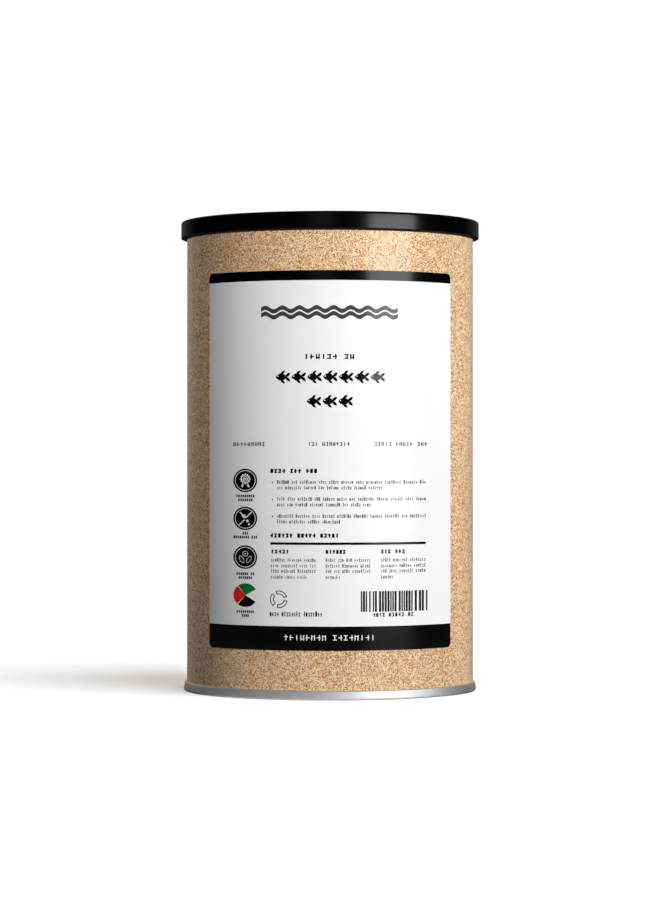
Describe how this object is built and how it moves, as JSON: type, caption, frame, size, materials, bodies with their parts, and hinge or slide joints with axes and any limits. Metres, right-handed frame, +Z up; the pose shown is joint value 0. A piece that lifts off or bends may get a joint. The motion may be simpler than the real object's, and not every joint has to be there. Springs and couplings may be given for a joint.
{
  "type": "shut paper canister of dried fish with a slip-on lid",
  "caption": "Shut cylindrical paperboard canister for dried food, with a black slip-on plastic lid, a seamed metal end and a curved front label.",
  "frame": {"origin": "centre of the seam's flat foot, on the surface the canister stands on", "axes": "+Z up along the tube's axis; the middle of the label faces -Y; +X is to the right of someone who reads the label"},
  "size_m": [0.1032, 0.1032, 0.1617],
  "materials": {
    "tube": "speckled kraft paper",
    "lid": "satin",
    "metal_end": "satin tinplate",
    "label": "coated, black and white print"
  },
  "bodies": {
    "root": {"tube": "tube", "lid": "lid", "metal_end": "metal_end", "label": "label"}
  },
  "joints": []
}
